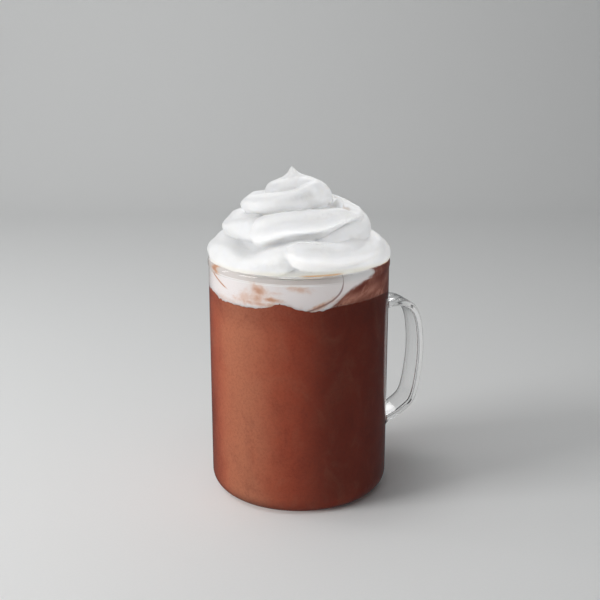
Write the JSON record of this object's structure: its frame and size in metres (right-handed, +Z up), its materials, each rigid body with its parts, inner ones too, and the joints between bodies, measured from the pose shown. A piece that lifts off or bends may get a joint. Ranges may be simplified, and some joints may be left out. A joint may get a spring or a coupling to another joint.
{
  "type": "caffe mocha in a glass mug",
  "caption": "Hot chocolate coffee drink in a straight clear glass mug with a flat strap handle, under a melted cream layer and a piped swirl of whipped cream.",
  "frame": {"origin": "centre of the mug's flat base, on the mug's axis, at the surface that it stands on", "axes": "+Z up along the mug's axis, +X from the axis towards the handle"},
  "size_m": [0.1056, 0.0848, 0.1545],
  "materials": {
    "clear_glass": "clear, polished",
    "mocha_drink": "reddish brown milk chocolate coffee, opaque and wet",
    "melted_cream": "white melted cream marbled with brown drink, wet",
    "whipped_cream": "soft white whipped cream, satin"
  },
  "bodies": {
    "root": {"glass_mug": "clear_glass", "mocha": "mocha_drink", "cream_layer": "melted_cream", "whipped_cream": "whipped_cream"}
  },
  "joints": []
}
